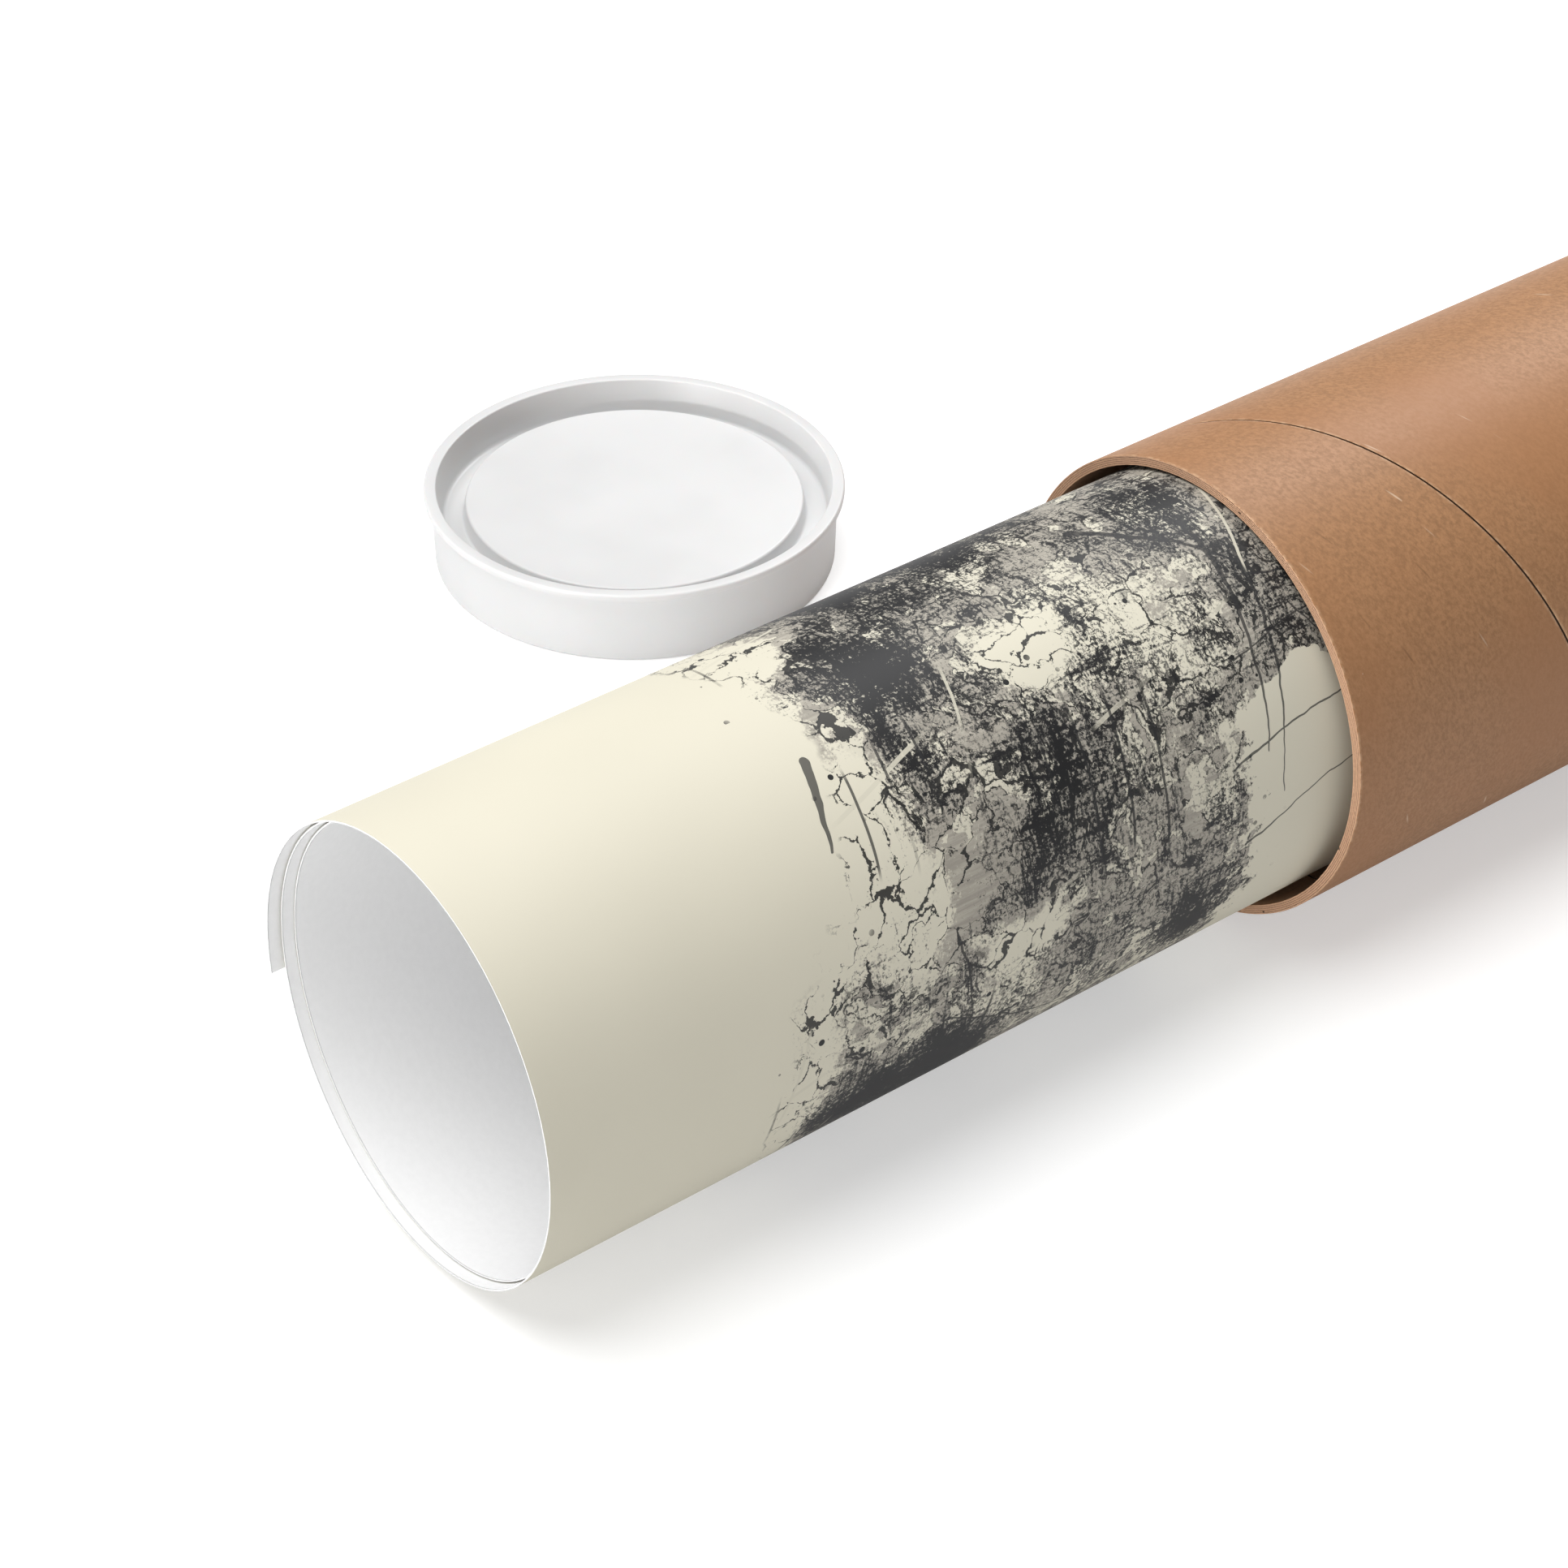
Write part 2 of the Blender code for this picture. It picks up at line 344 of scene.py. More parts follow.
def fibre_group():
    """Pulp: soft mottle, tiny pale flecks and short fibres lying along the strip."""
    name = "Pulp Fibres"
    if name in bpy.data.node_groups:
        return bpy.data.node_groups[name]
    group, s, given, put = new_group(
        name,
        [("Place", "NodeSocketVector", None), ("Mottle Size", "NodeSocketFloat", 620.0),
         ("Fleck Share", "NodeSocketFloat", 0.5), ("Fibre Share", "NodeSocketFloat", 0.5)],
        [("Mottle", "NodeSocketFloat"), ("Cloud", "NodeSocketFloat"),
         ("Pale", "NodeSocketFloat"), ("Dark", "NodeSocketFloat"), ("Height", "NodeSocketFloat")])
    place = given["Place"]
    along = s.stretch(place, (0.75, 1.0, 1.0))
    mottle = s.noise(along, given["Mottle Size"], 4.0, 0.62)
    cloud = s.noise(along, 34.0, 3.0, 0.55)
    specks = s.node("ShaderNodeTexVoronoi",
                    {"Vector": place, "Scale": 210.0, "Randomness": 1.0}, feature="F1")
    chosen = s.node("ShaderNodeSeparateColor", {"Color": specks.outputs["Color"]})
    rare = s.math("GREATER_THAN", chosen.outputs[0],
                  s.math("SUBTRACT", 1.0, s.math("MULTIPLY", given["Fleck Share"], 0.10)))
    reach = s.math("MULTIPLY_ADD", chosen.outputs[1], 0.05, 0.03)
    dot = s.math("SUBTRACT", 1.0, s.band(specks.outputs["Distance"], 0.02, reach))
    fleck = s.math("MULTIPLY", dot, rare)
    fibres = []
    for turn, seed in ((0.35, 3.1), (-0.5, 7.7)):
        bent = s.stretch(place, (170.0, 1500.0, 1.0), (seed, seed * 2.3, seed), turn)
        wool = s.node("ShaderNodeTexVoronoi", {"Vector": bent, "Scale": 1.0}, feature="F1")
        pick = s.node("ShaderNodeSeparateColor", {"Color": wool.outputs["Color"]})
        keep = s.math("GREATER_THAN", pick.outputs[0],
                      s.math("SUBTRACT", 1.0, s.math("MULTIPLY", given["Fibre Share"], 0.03)))
        body = s.math("SUBTRACT", 1.0, s.band(wool.outputs["Distance"], 0.12, 0.42))
        fibres.append((s.math("MULTIPLY", body, keep), pick.outputs[1]))
    pale_fibre = s.math("MULTIPLY", fibres[0][0], s.math("GREATER_THAN", fibres[0][1], 0.35))
    dark_fibre = s.math("MULTIPLY", fibres[1][0], s.math("GREATER_THAN", fibres[1][1], 0.55))
    pale = s.math("MAXIMUM", fleck, s.math("MULTIPLY", pale_fibre, 0.6))
    height = s.math("ADD", s.math("MULTIPLY", mottle, 0.5), s.math("MULTIPLY", pale, 0.5))
    for socket, value in (("Mottle", mottle), ("Cloud", cloud), ("Pale", pale),
                          ("Dark", dark_fibre), ("Height", height)):
        s.feed(put[socket], value)
    return group


def start_material(name, roughness, specular):
    """A Principled material whose constants sit on the shader's own sockets."""
    material = bpy.data.materials.new(name)
    material.use_nodes = True
    shader = material.node_tree.nodes["Principled BSDF"]
    shader.inputs["Roughness"].default_value = roughness
    shader.inputs["Specular IOR Level"].default_value = specular
    return material, Shader(material.node_tree), shader


def place_of(s, attribute):
    """The vector attribute that says where on its flat sheet each point lies."""
    return s.node("ShaderNodeAttribute", attribute_name=attribute).outputs["Vector"]


def use_bump(s, shader, height, strength, distance):
    """Feed a height to the shader's normal."""
    bump = s.node("ShaderNodeBump", {"Height": height, "Strength": strength, "Distance": distance})
    s.feed(shader.inputs["Normal"], bump.outputs[0])


def pulp(s, place, mottle_size, flecks, fibres):
    """Place the pulp group in a material and return its outputs."""
    inputs = {"Place": place, "Mottle Size": mottle_size, "Fleck Share": flecks,
              "Fibre Share": fibres}
    return s.node("ShaderNodeGroup", inputs, node_tree=fibre_group()).outputs


def kraft_material(settings):
    """Smooth kraft paper: warm mottled brown, pale flecks, calender streaks, a low sheen."""
    material, s, shader = start_material("kraft_paper", 0.48, 0.20)
    place = place_of(s, "strip_place")
    base = tuple(settings.kraft_colour)
    grain = pulp(s, place, 1700.0, 0.85, 0.6)
    colour = s.mix(s.band(grain["Mottle"], 0.30, 0.70), rgba(base, 0.82), rgba(base, 1.16))
    warm = rgba((base[0] * 1.02, base[1] * 0.93, base[2] * 0.86))
    colour = s.mix(s.band(grain["Cloud"], 0.35, 0.70, 0.0, 0.75), colour, warm)
    streak = s.noise(s.stretch(place, (6.0, 420.0, 1.0)), 1.0, 3.0, 0.6)
    colour = s.mix(s.band(streak, 0.45, 0.80, 0.0, 0.12), colour, rgba(base, 0.80))
    colour = s.mix(s.math("MULTIPLY", grain["Dark"], 0.45), colour, rgba(base, 0.42))
    colour = s.mix(s.math("MULTIPLY", grain["Pale"], 0.70), colour, rgba((0.80, 0.66, 0.50)))
    rubbed = s.node("ShaderNodeAttribute", attribute_name="edge_wear").outputs["Fac"]
    scuff = s.math("MULTIPLY", rubbed, s.band(s.noise(place, 900.0, 3.0, 0.6), 0.35, 0.65))
    colour = s.mix(s.math("MULTIPLY", scuff, 0.55), colour, rgba((0.60, 0.40, 0.25)))
    s.feed(shader.inputs["Base Color"], colour)
    gloss = s.band(grain["Mottle"], 0.3, 0.7, 0.52, 0.45)
    s.feed(shader.inputs["Roughness"], gloss)
    use_bump(s, shader, grain["Height"], 0.22, 0.05 * MM)
    return material


def board_material(settings, name="tube_board", gain=1.0):
    """Raw board: matt, a little paler than the kraft, with coarse pulp; a gain below one darkens it
    into painted shade.
    """
    material, s, shader = start_material(name, 0.85, 0.25)
    place = s.node("ShaderNodeTexCoord").outputs["Object"]
    base = tuple(channel * gain for channel in settings.board_colour)
    grain = pulp(s, place, 1900.0, 0.5, 0.5)
    colour = s.mix(s.band(grain["Mottle"], 0.3, 0.7), rgba(base, 0.90), rgba(base, 1.08))
    colour = s.mix(s.math("MULTIPLY", grain["Pale"], 0.5), colour, rgba(base, 1.45))
    colour = s.mix(s.math("MULTIPLY", grain["Dark"], 0.5), colour, rgba(base, 0.55))
    s.feed(shader.inputs["Base Color"], colour)
    use_bump(s, shader, grain["Mottle"], 0.6, 0.08 * MM)
    return material


def print_face_material(settings):
    """Cream art paper with an abstract ink wash of the maker's own."""
    material, s, shader = start_material("print_face", 0.62, 0.30)
    place = place_of(s, "sheet_place")
    paper = tuple(settings.paper_colour)
    ink = tuple(settings.ink_colour)
    tooth = s.noise(place, 2600.0, 3.0, 0.6)
    cloud = s.noise(place, 22.0, 2.0, 0.5)
    cream = s.mix(s.band(cloud, 0.3, 0.7), rgba(paper, 0.98), rgba(paper, 1.02))
    masks = ink_masks(s, place)
    grey = s.mix(s.band(masks["wash_tone"], 0.35, 0.65),
                 (0.27, 0.25, 0.215, 1.0), (0.40, 0.37, 0.315, 1.0))
    colour = s.mix(masks["wash"], cream, grey)
    smoke = s.mix(s.band(tooth, 0.4, 0.6), (0.055, 0.054, 0.051, 1.0), (0.11, 0.106, 0.098, 1.0))
    colour = s.mix(masks["smoke"], colour, smoke)
    colour = s.mix(masks["ink"], colour, rgba(ink))
    colour = s.mix(masks["scrape"], colour, rgba(paper, 0.93))
    colour = s.mix(masks["line"], colour, rgba(ink, 1.5))
    s.feed(shader.inputs["Base Color"], colour)
    wet = s.math("MULTIPLY_ADD", masks["ink"], -0.12, 0.64)
    s.feed(shader.inputs["Roughness"], wet)
    use_bump(s, shader, tooth, 0.10, 0.03 * MM)
    return material


def patch_mask(s, place, centre, reach):
    """A soft oval patch on the sheet."""
    moved = s.vector("SUBTRACT", {0: place, 1: (*centre, 0.0)})
    scaled = s.vector("MULTIPLY", {0: moved.outputs[0], 1: (1 / reach[0], 1 / reach[1], 1.0)})
    away = s.vector("LENGTH", {0: scaled.outputs[0]})
    return s.math("SUBTRACT", 1.0, s.band(away.outputs["Value"], 0.25, 1.0))


def pen_stroke(s, place, start, end, width):
    """A tapering stroke from one point of the sheet to another."""
    run = (end[0] - start[0], end[1] - start[1], 0.0)
    length_squared = run[0] ** 2 + run[1] ** 2
    moved = s.vector("SUBTRACT", {0: place, 1: (*start, 0.0)}).outputs[0]
    along = s.vector("DOT_PRODUCT", {0: moved, 1: run}).outputs["Value"]
    share = s.node("ShaderNodeClamp", {"Value": s.math("DIVIDE", along, length_squared)}).outputs[0]
    foot = s.vector("SCALE", {0: run, "Scale": share}).outputs[0]
    away = s.vector("DISTANCE", {0: moved, 1: foot}).outputs["Value"]
    reach = s.math("MULTIPLY_ADD", share, -0.75 * width, width)
    return s.math("LESS_THAN", away, reach)


def crackle(s, place, scale, width, seed):
    """Fine dark veins round irregular islands, and each island's own random value."""
    moved = s.stretch(place, ONE_TO_ONE, (seed, seed * 0.7, seed * 0.3))
    veins = s.node("ShaderNodeTexVoronoi", {"Vector": moved, "Scale": scale},
                   feature="DISTANCE_TO_EDGE")
    cells = s.node("ShaderNodeTexVoronoi", {"Vector": moved, "Scale": scale}, feature="F1")
    island = s.node("ShaderNodeSeparateColor", {"Color": cells.outputs["Color"]}).outputs[0]
    thickness = s.band(s.noise(place, scale * 0.9, 4.0, 0.7), 0.42, 0.72, 0.0, width * scale)
    return s.math("LESS_THAN", veins.outputs["Distance"], thickness), island


# Each patch: centre on the sheet (round the roll, in from its end), reach each way, and
# how much more ink it holds. The last four are left open.
INK_PATCHES = (
    ((0.068, 0.078), (0.019, 0.020), 0.22), ((0.043, 0.102), (0.022, 0.040), 0.17),
    ((0.098, 0.098), (0.020, 0.016), 0.12), ((0.141, 0.066), (0.016, 0.024), 0.26),
    ((0.130, 0.122), (0.011, 0.012), 0.18), ((0.062, 0.142), (0.016, 0.014), 0.12),
    ((0.077, 0.106), (0.010, 0.009), -0.28), ((0.107, 0.070), (0.017, 0.012), -0.18),
    ((0.118, 0.088), (0.008, 0.014), -0.20), ((0.054, 0.070), (0.009, 0.008), -0.20),
)
# Each pen stroke: its first point, its last point and its width where it starts.
PEN_STROKES = (
    ((0.068, 0.144), (0.108, 0.138), 0.55 * MM), ((0.074, 0.148), (0.116, 0.140), 0.38 * MM),
    ((0.060, 0.128), (0.078, 0.147), 0.75 * MM), ((0.079, 0.060), (0.093, 0.057), 0.85 * MM),
    ((0.080, 0.146), (0.088, 0.170), 0.22 * MM), ((0.092, 0.136), (0.084, 0.185), 0.18 * MM),
    ((0.108, 0.130), (0.098, 0.190), 0.20 * MM), ((0.122, 0.132), (0.110, 0.176), 0.20 * MM),
    ((0.128, 0.072), (0.150, 0.118), 0.22 * MM), ((0.086, 0.150), (0.118, 0.166), 0.16 * MM),
    ((0.113, 0.075), (0.146, 0.079), 0.25 * MM),
)


def pen_lines(s, place, wander, field):
    """Dark thin strokes, and a little hatching inside the drawing."""
    pen = 0.0
    for start, end, width in PEN_STROKES:
        stroke = pen_stroke(s, shifted(s, place, wander, 0.006), start, end, width)
        pen = s.math("MAXIMUM", pen, stroke)
    hatch = s.math("MULTIPLY", lines(s, place, 150.0, 0.10, 0.035, 2.0), field)
    return s.math("MAXIMUM", pen, hatch)


def spatter_dots(s, place, inside, beyond):
    """Dots that fly off the edge of the ink on to the clean margin."""
    specks = s.node("ShaderNodeTexVoronoi", {"Vector": place, "Scale": 520.0}, feature="F1")
    pick = s.node("ShaderNodeSeparateColor", {"Color": specks.outputs["Color"]})
    edge_near = s.band(inside, -0.014, 0.006)
    chance = s.math("MULTIPLY_ADD", edge_near, -0.30, 0.998)
    size = s.math("MULTIPLY_ADD", pick.outputs[1], 0.26, 0.05)
    spot = s.math("MULTIPLY", s.math("LESS_THAN", specks.outputs["Distance"], size),
                  s.math("GREATER_THAN", pick.outputs[0], chance))
    crowd = s.band(s.noise(place, 70.0, 3.0, 0.6), 0.44, 0.60)
    return s.math("MULTIPLY", s.math("MULTIPLY", spot, crowd),
                  s.math("SUBTRACT", 1.0, s.band(beyond, 0.0, 0.012)))


def ink_masks(s, place):
    """Masks of an abstract composition: washes, smoke, ink, scraped lines, fine lines."""
    slow = s.drift(place, 38.0, 0.60)
    quick = s.drift(place, 420.0, 0.65)
    warped = shifted(s, shifted(s, place, slow, 0.022), quick, 0.0035)
    part = s.node("ShaderNodeSeparateXYZ", {"Vector": warped})
    around, inward = part.outputs[0], part.outputs[1]

    # The drawing starts past a clean margin; low down it stops short of the far side.
    first = s.math("MULTIPLY_ADD", s.band(around, 0.075, 0.138), -0.021, 0.0630)
    inside = s.math("SUBTRACT", inward, first)
    begins = s.band(inside, -0.003, 0.0)
    stops_at = s.band(around, 0.080, 0.100, 0.360, 0.131)
    beyond = s.math("SUBTRACT", inward, stops_at)
    torn = s.noise(place, 260.0, 6.0, 0.74)
    beyond = s.math("MULTIPLY_ADD", s.math("SUBTRACT", torn, 0.5), 0.040, beyond)
    field = s.math("MULTIPLY", begins, s.math("SUBTRACT", 1.0, s.band(beyond, -0.001, 0.001)))

    # Where ink is heavy and where the sheet is left open.
    weight = s.band(inside, 0.0, 0.016, -0.20, 0.0)
    for centre, reach, gain in INK_PATCHES:
        spot = patch_mask(s, warped, centre, reach)
        weight = s.math("MULTIPLY_ADD", spot, gain, weight)

    blot = s.noise(warped, 84.0, 10.0, 0.74)
    grit = s.noise(place, 1500.0, 4.0, 0.74)
    across = s.noise(s.stretch(place, (60.0, 1100.0, 1.0), turn=0.10), 1.0, 4.0, 0.66)
    upright = s.noise(s.stretch(place, (1100.0, 70.0, 1.0), turn=-0.08), 1.0, 4.0, 0.66)
    brush = s.math("MAXIMUM", s.math("SUBTRACT", across, 0.5), s.math("SUBTRACT", upright, 0.5))

    heavy = s.math("ADD", blot, weight)
    heavy = s.math("MULTIPLY_ADD", s.math("SUBTRACT", grit, 0.5), 0.72, heavy)
    heavy = s.math("MULTIPLY_ADD", brush, 0.60, heavy)
    ink = s.math("MULTIPLY", s.band(heavy, 0.620, 0.634), field)

    veins, island = crackle(s, warped, 170.0, 0.50 * MM, 1.7)
    fine_veins, chip = crackle(s, warped, 520.0, 0.34 * MM, 4.1)
    near_ink = s.band(s.math("ADD", blot, weight), 0.40, 0.52)
    vein = s.math("MAXIMUM", veins, s.math("MULTIPLY", fine_veins, near_ink))
    ink = s.math("MAXIMUM", ink, s.math("MULTIPLY", s.math("MULTIPLY", vein, field), 0.95))

    # Dry grey: broken by grit and by islands that stayed clean.
    dry = s.math("MULTIPLY_ADD", s.math("SUBTRACT", grit, 0.5), 0.95, s.math("ADD", blot, weight))
    dry = s.math("MULTIPLY_ADD", brush, 0.85, dry)
    smoke = s.math("MULTIPLY", s.band(dry, 0.520, 0.600, 0.0, 0.85), field)
    clean = s.math("GREATER_THAN", s.math("ADD", s.math("MULTIPLY", island, 0.6),
                                          s.math("MULTIPLY", chip, 0.4)), 0.66)
    wash_sum = s.math("MULTIPLY_ADD", s.math("SUBTRACT", grit, 0.5), 0.30,
                      s.math("MULTIPLY_ADD", weight, 0.9, s.noise(warped, 30.0, 5.0, 0.6)))
    wash = s.math("MULTIPLY", s.band(wash_sum, 0.385, 0.440, 0.0, 0.92), field)
    wash = s.math("MULTIPLY", wash, s.math("MULTIPLY_ADD", clean, -0.85, 1.0))

    # Scraped lines are pale, straight and long.
    scrape = s.math("MAXIMUM", lines(s, place, 70.0, 0.30, 0.018, 4.0),
                    lines(s, place, 60.0, 1.30, 0.022, 9.0))
    scrape = s.math("MULTIPLY", scrape, field)
    pen = pen_lines(s, place, slow, field)
    spatter = spatter_dots(s, place, inside, beyond)
    ink = s.math("MAXIMUM", ink, spatter)
    return {"ink": ink, "smoke": smoke, "wash": wash, "wash_tone": upright,
            "scrape": s.math("MULTIPLY", scrape, 0.85), "line": s.math("MULTIPLY", pen, 0.85)}


def shifted(s, place, colour, amount):
    """A place pushed about by a noise colour."""
    centred = s.vector("SUBTRACT", {0: colour, 1: (0.5, 0.5, 0.5)}).outputs[0]
    return s.vector("MULTIPLY_ADD", {0: centred, 1: (amount, amount, 0.0), 2: place}).outputs[0]


def lines(s, place, per_metre, turn, width, seed):
    """Thin, broken, nearly straight lines at one slant."""
    wobble = s.noise(s.stretch(place, ONE_TO_ONE, (seed, seed, 0.0)), 28.0, 3.0, 0.5)
    turned = s.stretch(place, ONE_TO_ONE, (seed * 0.013, seed * 0.021, 0.0), turn)
    part = s.node("ShaderNodeSeparateXYZ", {"Vector": turned})
    across = s.math("ADD", part.outputs[1], s.math("MULTIPLY", wobble, 0.0030))
    phase = s.math("MULTIPLY", across, per_metre)
    offset = s.math("ABSOLUTE", s.math("SUBTRACT", s.math("FRACT", phase), 0.5))
    stroke = s.math("LESS_THAN", offset, width)
    row = s.math("FLOOR", phase)
    where = s.node("ShaderNodeCombineXYZ",
                   {"X": s.math("MULTIPLY", part.outputs[0], 22.0), "Y": row, "Z": seed})
    run = s.band(s.noise(where.outputs[0], 1.0, 2.0, 0.5), 0.56, 0.60)
    return s.math("MULTIPLY", stroke, run)


def print_back_material(settings):
    """The sheet's plain white back and its cut edges, with painted shade on the near cut edge."""
    material, s, shader = start_material("print_back", 0.7, 0.25)
    place = place_of(s, "sheet_place")
    back = tuple(settings.back_colour)
    grain = pulp(s, place, 900.0, 0.0, 0.0)
    colour = s.mix(s.band(grain["Mottle"], 0.3, 0.7), rgba(back, 0.985), rgba(back, 1.01))
    # Painted shade: the cut edge at the sheet's near end, and a sliver of the back beside it,
    # darkened as if its fibres shaded themselves.
    inward = s.node("ShaderNodeSeparateXYZ", {0: place}).outputs["Y"]
    colour = s.mix(s.band(inward, 0.05 * MM, 0.20 * MM), rgba(back, 0.62), colour)
    s.feed(shader.inputs["Base Color"], colour)
    use_bump(s, shader, grain["Mottle"], 0.12, 0.03 * MM)
    return material


def plastic_material(settings):
    """White moulded plastic with a fine satin skin."""
    material, s, shader = start_material("white_plastic", 0.36, 0.45)
    shader.inputs["Subsurface Weight"].default_value = 0.08
    shader.inputs["Subsurface Scale"].default_value = 1.5 * MM
    place = s.node("ShaderNodeTexCoord").outputs["Object"]
    base = tuple(settings.colour)
    flow = s.noise(place, 38.0, 3.0, 0.55)
    skin = s.noise(place, 2400.0, 2.0, 0.5)
    colour = s.mix(s.band(flow, 0.3, 0.7), rgba(base, 0.975), rgba(base, 1.015))
    s.feed(shader.inputs["Base Color"], colour)
    s.feed(shader.inputs["Roughness"], s.band(flow, 0.3, 0.7, 0.33, 0.42))
    use_bump(s, shader, skin, 0.10, 0.02 * MM)
    return material


# ---- mesh building ------------------------------------------------------------------


def smooth_object(name, builder, materials):
    """Turn a filled bmesh into a smooth-shaded object in the scene."""
    bmesh.ops.recalc_face_normals(builder, faces=builder.faces)
    mesh = bpy.data.meshes.new(name)
    builder.to_mesh(mesh)
    builder.free()
    mesh.shade_smooth()
    mesh.set_sharp_from_angle(angle=math.radians(35))
    for material in materials:
        mesh.materials.append(material)
    piece = bpy.data.objects.new(name, mesh)
    bpy.context.scene.collection.objects.link(piece)
    return piece


def stitch(builder, sections, layers=()):
    """Skin a row of cross-sections, each a list of (point, extra values), into a solid."""
    rings = []
    for section in sections:
        ring = []
        for point, *extras in section:
            vert = builder.verts.new(point)
            for layer, value in zip(layers, extras):
                vert[layer] = value
            ring.append(vert)
        rings.append(ring)
    for ring, following in zip(rings, rings[1:]):
        count = len(ring)
        for index in range(count):
            ahead = (index + 1) % count
            builder.faces.new((ring[index], ring[ahead], following[ahead], following[index]))
    builder.faces.new(rings[0])
    builder.faces.new(list(reversed(rings[-1])))


def on_axis(angle, radius):
    """(y, z) of a point at a turn round the tube's axis."""
    return radius * math.cos(angle), AXIS_HEIGHT + radius * math.sin(angle)


# ---- the wound tube -----------------------------------------------------------------


def seam_line(settings, layer):
    """X of a ply's joint at zero turn; the wrap is the last layer."""
    start = MOUTH_X + settings.seam_from_mouth
    start -= settings.pitch * settings.seam_angle / (2 * math.pi)
    return start + settings.pitch * settings.ply_stagger * (len(PLY_NODES) - 1 - layer)


def joint_wander(turned, settings):
    """Slow unevenness of a joint's edges along its helix."""
    return settings.gap_wander * (math.sin(turned * 3.1) + 0.6 * math.sin(turned * 7.3 + 1.0)) / 1.6


def wind_strip(name, settings, layer, facets, rounding, materials):
    """Wind one strip into a tube with its turns butted, square at both ends."""
    outer = PLY_RADII[PLY_NODES[layer]]
    inner = outer - settings.ply_thickness
    per_radian = settings.pitch / (2 * math.pi)
    seam_x = seam_line(settings, layer)
    half_gap = settings.butt_gap / 2
    tip = 2 * rounding + 0.05 * MM
    start = (MOUTH_X + tip - seam_x - settings.pitch) / per_radian
    finish = (FAR_END_X - tip - seam_x) / per_radian
    marks = {start, finish}
    marks.add((MOUTH_X - seam_x - half_gap) / per_radian)
    marks.add((FAR_END_X - seam_x - settings.pitch + half_gap) / per_radian)
    step = 2 * math.pi / facets
    first, last = math.ceil(start / step), math.floor(finish / step)
    marks.update(index * step for index in range(first, last + 1))

    slant = math.atan2(settings.pitch, 2 * math.pi * outer)
    builder = bmesh.new()
    place_layer = builder.verts.layers.float_vector.new("strip_place")
    wear_layer = builder.verts.layers.float.new("edge_wear")
    sections = []
    for turned in sorted(marks):
        edge_x = seam_x + per_radian * turned
        low = max(MOUTH_X, edge_x + half_gap + joint_wander(turned, settings))
        high_edge = edge_x + settings.pitch - half_gap
        high = min(FAR_END_X, high_edge + 0.5 * joint_wander(turned + 2 * math.pi, settings))
        high = max(high, low + tip)
        outline = strip_outline(low, high, inner, outer, rounding)
        sections.append([
            strip_point(x, turned, radius, outer, slant, wear) for x, radius, wear in outline])
    stitch(builder, sections, (place_layer, wear_layer))
    builder.normal_update()
    for face in builder.faces:
        centre = face.calc_center_median()
        radius = math.hypot(centre.y, centre.z - AXIS_HEIGHT)
        at_end = min(centre.x - MOUTH_X, FAR_END_X - centre.x) < 0.02 * MM
        if at_end or layer == 0 and radius < outer - 0.6 * settings.ply_thickness:
            face.material_index = 1
        # Painted shade: joint walls and faces under the next ply take the darkened board.
        elif abs(face.normal.x) > 0.75 or radius < outer - 0.6 * settings.ply_thickness:
            face.material_index = 2
    return smooth_object(name, builder, materials)


def strip_outline(low, high, inner, outer, rounding):
    """(x, radius, wear) round a strip's cross-section, outer corners rounded."""
    if rounding == 0:
        return [(low, outer, 0.0), (high, outer, 0.0), (high, inner, 0.0), (low, inner, 0.0)]
    points = []
    steps = 3
    inset = min(6 * rounding, (high - low) / 3)
    for index in range(steps + 1):
        angle = math.pi - index / steps * math.pi / 2
        points.append((low + rounding * (1 + math.cos(angle)),
                       outer - rounding * (1 - math.sin(angle)), 1.0))
    points.append((low + inset, outer, 0.0))
    points.append((high - inset, outer, 0.0))
    for index in range(steps + 1):
        angle = math.pi / 2 - index / steps * math.pi / 2
        points.append((high - rounding * (1 - math.cos(angle)),
                       outer - rounding * (1 - math.sin(angle)), 1.0))
    points.append((high, inner, 0.3))
    points.append((low, inner, 0.3))
    return points


def strip_point(x, turned, radius, outer, slant, wear):
    """One vertex of a strip with its place on the flat strip and its wear."""
    y, z = on_axis(turned, radius)
    around = outer * turned
    along = around * math.cos(slant) + x * math.sin(slant)
    across = x * math.cos(slant) - around * math.sin(slant)
    return (x, y, z), (along, across, radius), wear


class DRAWINGTUBE_OT_wind_tube(Operator):
    """Wind the liner, the core plies and the kraft wrap of the tube"""

    bl_idname = "drawing_tube.wind_tube"
    bl_label = "Wind Tube"

    def execute(self, context):
        settings = context.scene.drawing_tube
        kraft = kraft_material(settings)
        board = board_material(settings)
        # Painted shade: the board darkened to 0.22 for the joint walls and the faces buried under
        # the next ply, dark as the shadow in the narrow gaps.
        ply_shade = board_material(settings, "joint_shade_board", 0.22)
        for layer, node in enumerate(PLY_NODES):
            outermost = node == "kraft_wrap"
            rounding = settings.edge_round if outermost else 0.0
            facets = settings.facets if outermost else settings.facets // 2
            materials = [kraft if outermost else ply_shade, board, ply_shade]
            strip = wind_strip(node + "_strip", settings, layer, facets, rounding, materials)
            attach(strip, "tube")
            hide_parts(node)
        return {"FINISHED"}


# ---- the rolled print ---------------------------------------------------------------


def roll_radii(turns, settings):
    """Radii across and upright of the roll's outer face after some turns."""
    lift = 0.0
    if turns < settings.flap_turns:
        lift = settings.flap_lift * (1 - turns / settings.flap_turns) ** 2
    radius = settings.radius - settings.turn_step * turns + lift
    return radius * (1 - settings.oval), radius * (1 + settings.oval)


def paper_ripple(x, angle, settings):
    """Slight waves of the paper, alike in every turn so the turns never touch."""
    run = (x - PRINT_LOW.x) / settings.width
    wave = 0.6 * math.sin(2 * angle + 9.0 * run) + 0.4 * math.sin(3 * angle - 14.0 * run + 1.3)
    return settings.ripple * wave


